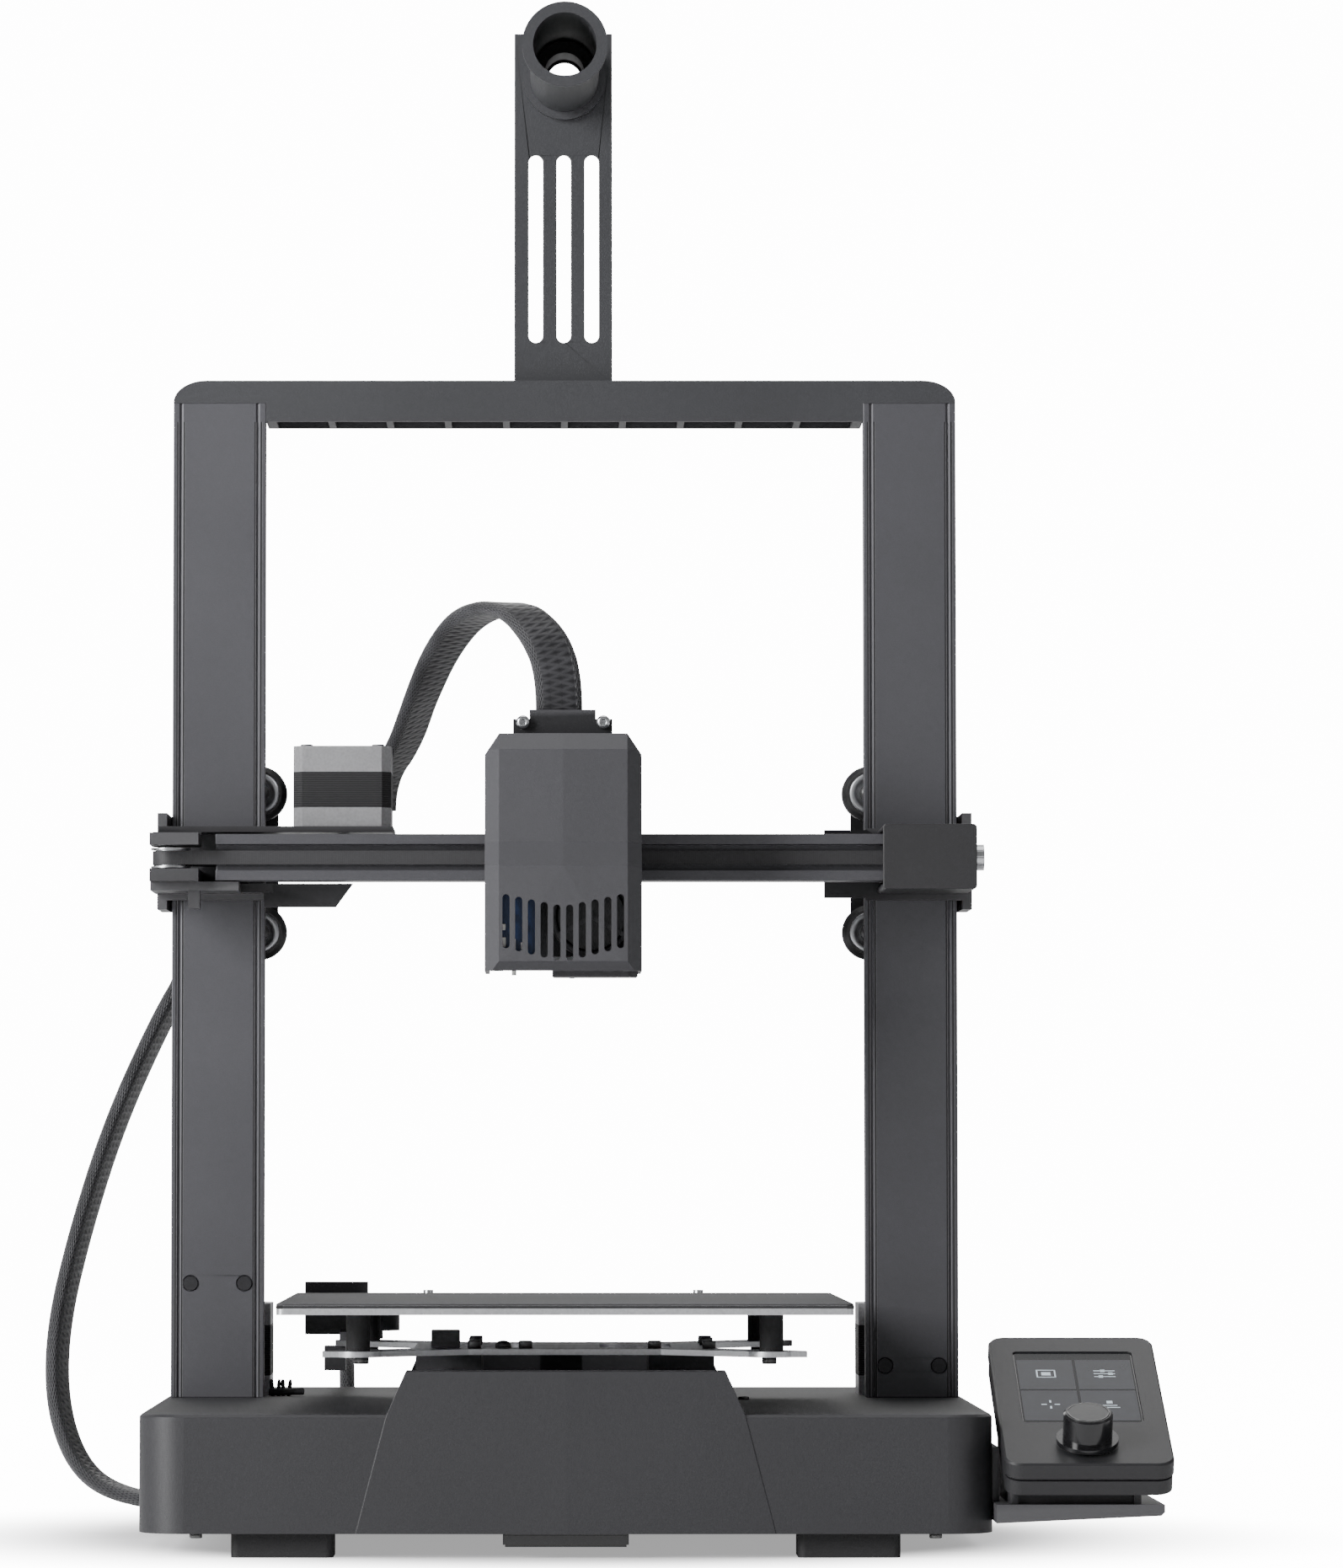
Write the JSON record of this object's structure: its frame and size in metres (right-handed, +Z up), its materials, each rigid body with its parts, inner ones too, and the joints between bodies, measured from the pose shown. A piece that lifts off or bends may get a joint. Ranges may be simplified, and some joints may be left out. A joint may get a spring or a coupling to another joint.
{
  "type": "fdm printer",
  "caption": "Desktop filament 3D printer: boxed base, twin uprights with a top beam, moving bed, cross rail with toolhead, spool arm and a tilted screen.",
  "frame": {"origin": "centre of the base's footprint, on the table that the rubber feet stand on", "axes": "+X to the right seen from the front, +Y to the rear, +Z up"},
  "size_m": [0.4677, 0.4101, 0.6565],
  "materials": {
    "charcoal_shell": "fine satin powder coat",
    "charcoal_aluminium": "bead-blasted dark anodised",
    "charcoal_plastic": "fine matt",
    "charcoal_steel": "satin powder coat",
    "black_steel": "satin",
    "black_plastic": "fine matt",
    "gloss_black": "glossy",
    "foot_rubber": "matt",
    "belt_rubber": "matt",
    "polished_steel": "ground",
    "zinc_steel": "zinc plated",
    "motor_steel": "machined caps and black laminations",
    "bright_aluminium": "machined",
    "circuit_board": "solder mask",
    "black_screw": "black oxide",
    "display_glass": "display cover",
    "braided_sleeve": "braided sleeve",
    "textured_sheet": "powder texture",
    "brass_gear": "machined",
    "pin_white": "moulded",
    "wheel_pom": "turned acetal"
  },
  "bodies": {
    "base": {"base_cover": "charcoal_shell", "base_bottom_plate": "black_steel", "rubber_feet": "foot_rubber", "y_rods": "polished_steel", "y_motor": "motor_steel", "y_belt": "belt_rubber", "power_supply": "zinc_steel", "mainboard": "circuit_board", "power_inlet": "black_plastic", "left_upright": "charcoal_aluminium", "right_upright": "charcoal_aluminium", "top_beam": "charcoal_plastic", "spool_arm": "charcoal_steel", "spool_holder": "black_plastic", "z_motors": "motor_steel", "frame_screws": "black_screw", "screen_arm": "black_steel", "screen_rear_shell": "charcoal_plastic", "screen_front_shell": "charcoal_plastic", "display_panel": "display_glass", "gantry_cable": "braided_sleeve", "bed_cable": "braided_sleeve"},
    "power_rocker": {"power_switch": "gloss_black"},
    "y_drive": {"y_motor_pulley": "bright_aluminium"},
    "y_idle": {"y_idler_pulley": "bright_aluminium"},
    "left_screw": {"lead_screw_left": "polished_steel"},
    "right_screw": {"lead_screw_right": "polished_steel"},
    "encoder": {"encoder_shaft": "bright_aluminium"},
    "knob": {"screen_knob": "gloss_black"},
    "bed": {"bed_carriage_plate": "bright_aluminium", "y_bearings": "black_plastic", "bed_standoffs": "foot_rubber", "heated_bed": "bright_aluminium", "z_offset_sensor": "black_plastic"},
    "print_sheet": {"build_plate": "textured_sheet"},
    "gantry": {"x_rail": "charcoal_aluminium", "left_gantry_bracket": "black_steel", "right_gantry_bracket": "black_steel", "x_motor": "motor_steel", "x_belt": "belt_rubber", "x_end_cover": "charcoal_plastic", "toolhead_cable": "braided_sleeve"},
    "x_drive": {"x_motor_pulley": "bright_aluminium"},
    "x_idle_left": {"x_left_idler": "bright_aluminium"},
    "x_idle_right": {"x_right_idler": "bright_aluminium"},
    "tension_knob": {"x_tension_knob": "bright_aluminium"},
    "toolhead": {"x_carriage": "black_steel", "toolhead_cover": "charcoal_shell", "extruder_body": "black_plastic", "hotend": "bright_aluminium", "cable_clamp": "black_plastic"},
    "feed_gear": {"drive_gear": "brass_gear"},
    "part_fan_rotor": {"part_fan": "black_plastic"},
    "probe_pin_slide": {"probe_pin": "pin_white"},
    "wheel_left_top": {"z_wheel_left_top": "wheel_pom"},
    "wheel_left_bottom": {"z_wheel_left_bottom": "wheel_pom"},
    "wheel_left_outer": {"z_wheel_left_outer": "wheel_pom"},
    "wheel_right_top": {"z_wheel_right_top": "wheel_pom"},
    "wheel_right_bottom": {"z_wheel_right_bottom": "wheel_pom"},
    "wheel_right_outer": {"z_wheel_right_outer": "wheel_pom"}
  },
  "joints": [
    {"name": "bed_slide", "type": "slide", "parent": "base", "child": "bed", "axis": [0, 1, 0], "range_m": [-0.1165, 0.1035], "deforming": ["bed_cable"]},
    {"name": "sheet_lift", "type": "slide", "parent": "bed", "child": "print_sheet", "axis": [0, 0, 1], "range_m": [0, 0.04]},
    {"name": "z_slide", "type": "slide", "parent": "base", "child": "gantry", "axis": [0, 0, 1], "range_m": [-0.1342, 0.105], "deforming": ["gantry_cable"]},
    {"name": "x_slide", "type": "slide", "parent": "gantry", "child": "toolhead", "axis": [1, 0, 0], "range_m": [-0.112, 0.106], "deforming": ["toolhead_cable"]},
    {"name": "left_screw_turn", "type": "hinge", "parent": "base", "child": "left_screw", "pos_m": [-0.1503, 0.082, 0], "axis": [0, 0, 1], "continuous": true},
    {"name": "right_screw_turn", "type": "hinge", "parent": "base", "child": "right_screw", "pos_m": [0.1503, 0.082, 0], "axis": [0, 0, 1], "continuous": true},
    {"name": "y_drive_turn", "type": "hinge", "parent": "base", "child": "y_drive", "pos_m": [-0.0016, 0.14, 0.03315], "axis": [1, 0, 0], "continuous": true},
    {"name": "y_idle_turn", "type": "hinge", "parent": "base", "child": "y_idle", "pos_m": [-0.0016, -0.14, 0.03315], "axis": [1, 0, 0], "continuous": true},
    {"name": "wheel_left_top_turn", "type": "hinge", "parent": "gantry", "child": "wheel_left_top", "pos_m": [-0.1336, 0.0485, 0.3211], "axis": [0, 1, 0], "continuous": true},
    {"name": "wheel_left_bottom_turn", "type": "hinge", "parent": "gantry", "child": "wheel_left_bottom", "pos_m": [-0.1336, 0.0485, 0.2603], "axis": [0, 1, 0], "continuous": true},
    {"name": "wheel_left_outer_turn", "type": "hinge", "parent": "gantry", "child": "wheel_left_outer", "pos_m": [-0.168, 0.0485, 0.2907], "axis": [0, 1, 0], "continuous": true},
    {"name": "wheel_right_top_turn", "type": "hinge", "parent": "gantry", "child": "wheel_right_top", "pos_m": [0.1336, 0.0485, 0.3211], "axis": [0, 1, 0], "continuous": true},
    {"name": "wheel_right_bottom_turn", "type": "hinge", "parent": "gantry", "child": "wheel_right_bottom", "pos_m": [0.1336, 0.0485, 0.2603], "axis": [0, 1, 0], "continuous": true},
    {"name": "wheel_right_outer_turn", "type": "hinge", "parent": "gantry", "child": "wheel_right_outer", "pos_m": [0.168, 0.0485, 0.2907], "axis": [0, 1, 0], "continuous": true},
    {"name": "x_drive_turn", "type": "hinge", "parent": "gantry", "child": "x_drive", "pos_m": [-0.0965, 0.0342, 0.2907], "axis": [0, 0, 1], "continuous": true},
    {"name": "x_idle_left_turn", "type": "hinge", "parent": "gantry", "child": "x_idle_left", "pos_m": [-0.1698, -0.001, 0.2907], "axis": [0, 0, 1], "continuous": true},
    {"name": "x_idle_right_turn", "type": "hinge", "parent": "gantry", "child": "x_idle_right", "pos_m": [0.16, -0.001, 0.2907], "axis": [0, 0, 1], "continuous": true},
    {"name": "tension_turn", "type": "hinge", "parent": "gantry", "child": "tension_knob", "pos_m": [0.178, -0.008, 0.2907], "axis": [1, 0, 0], "continuous": true},
    {"name": "feed_gear_turn", "type": "hinge", "parent": "toolhead", "child": "feed_gear", "pos_m": [0.014, -0.026, 0.313], "axis": [0, 1, 0], "continuous": true},
    {"name": "part_fan_turn", "type": "hinge", "parent": "toolhead", "child": "part_fan_rotor", "pos_m": [0.011, -0.07, 0.263], "axis": [0, 1, 0], "continuous": true},
    {"name": "probe_deploy", "type": "slide", "parent": "toolhead", "child": "probe_pin_slide", "axis": [0, 0, -1], "range_m": [0, 0.006]},
    {"name": "power_rock", "type": "hinge", "parent": "base", "child": "power_rocker", "pos_m": [0.135, 0.1655, 0.029], "axis": [1, 0, 0], "range_deg": [-14, 0]},
    {"name": "knob_push", "type": "slide", "parent": "base", "child": "encoder", "axis": [0, 0.4019, -0.9157], "range_m": [0, 0.001], "stiffness_N_per_m": 900},
    {"name": "knob_turn", "type": "hinge", "parent": "encoder", "child": "knob", "pos_m": [0.2107, -0.16946, 0.04612], "axis": [0, -0.4019, 0.9157], "continuous": true}
  ],
  "couplings": [
    {"joint": "left_screw_turn", "follows": "z_slide", "rad_per_m": 785.4},
    {"joint": "right_screw_turn", "follows": "z_slide", "rad_per_m": 785.4},
    {"joint": "y_drive_turn", "follows": "bed_slide", "rad_per_m": -156.99},
    {"joint": "y_idle_turn", "follows": "bed_slide", "rad_per_m": -156.99},
    {"joint": "x_drive_turn", "follows": "x_slide", "rad_per_m": 156.99},
    {"joint": "x_idle_left_turn", "follows": "x_slide", "rad_per_m": 156.99},
    {"joint": "x_idle_right_turn", "follows": "x_slide", "rad_per_m": 156.99},
    {"joint": "wheel_left_top_turn", "follows": "z_slide", "rad_per_m": 101},
    {"joint": "wheel_left_bottom_turn", "follows": "z_slide", "rad_per_m": 101},
    {"joint": "wheel_left_outer_turn", "follows": "z_slide", "rad_per_m": -101},
    {"joint": "wheel_right_top_turn", "follows": "z_slide", "rad_per_m": -101},
    {"joint": "wheel_right_bottom_turn", "follows": "z_slide", "rad_per_m": -101},
    {"joint": "wheel_right_outer_turn", "follows": "z_slide", "rad_per_m": 101}
  ]
}
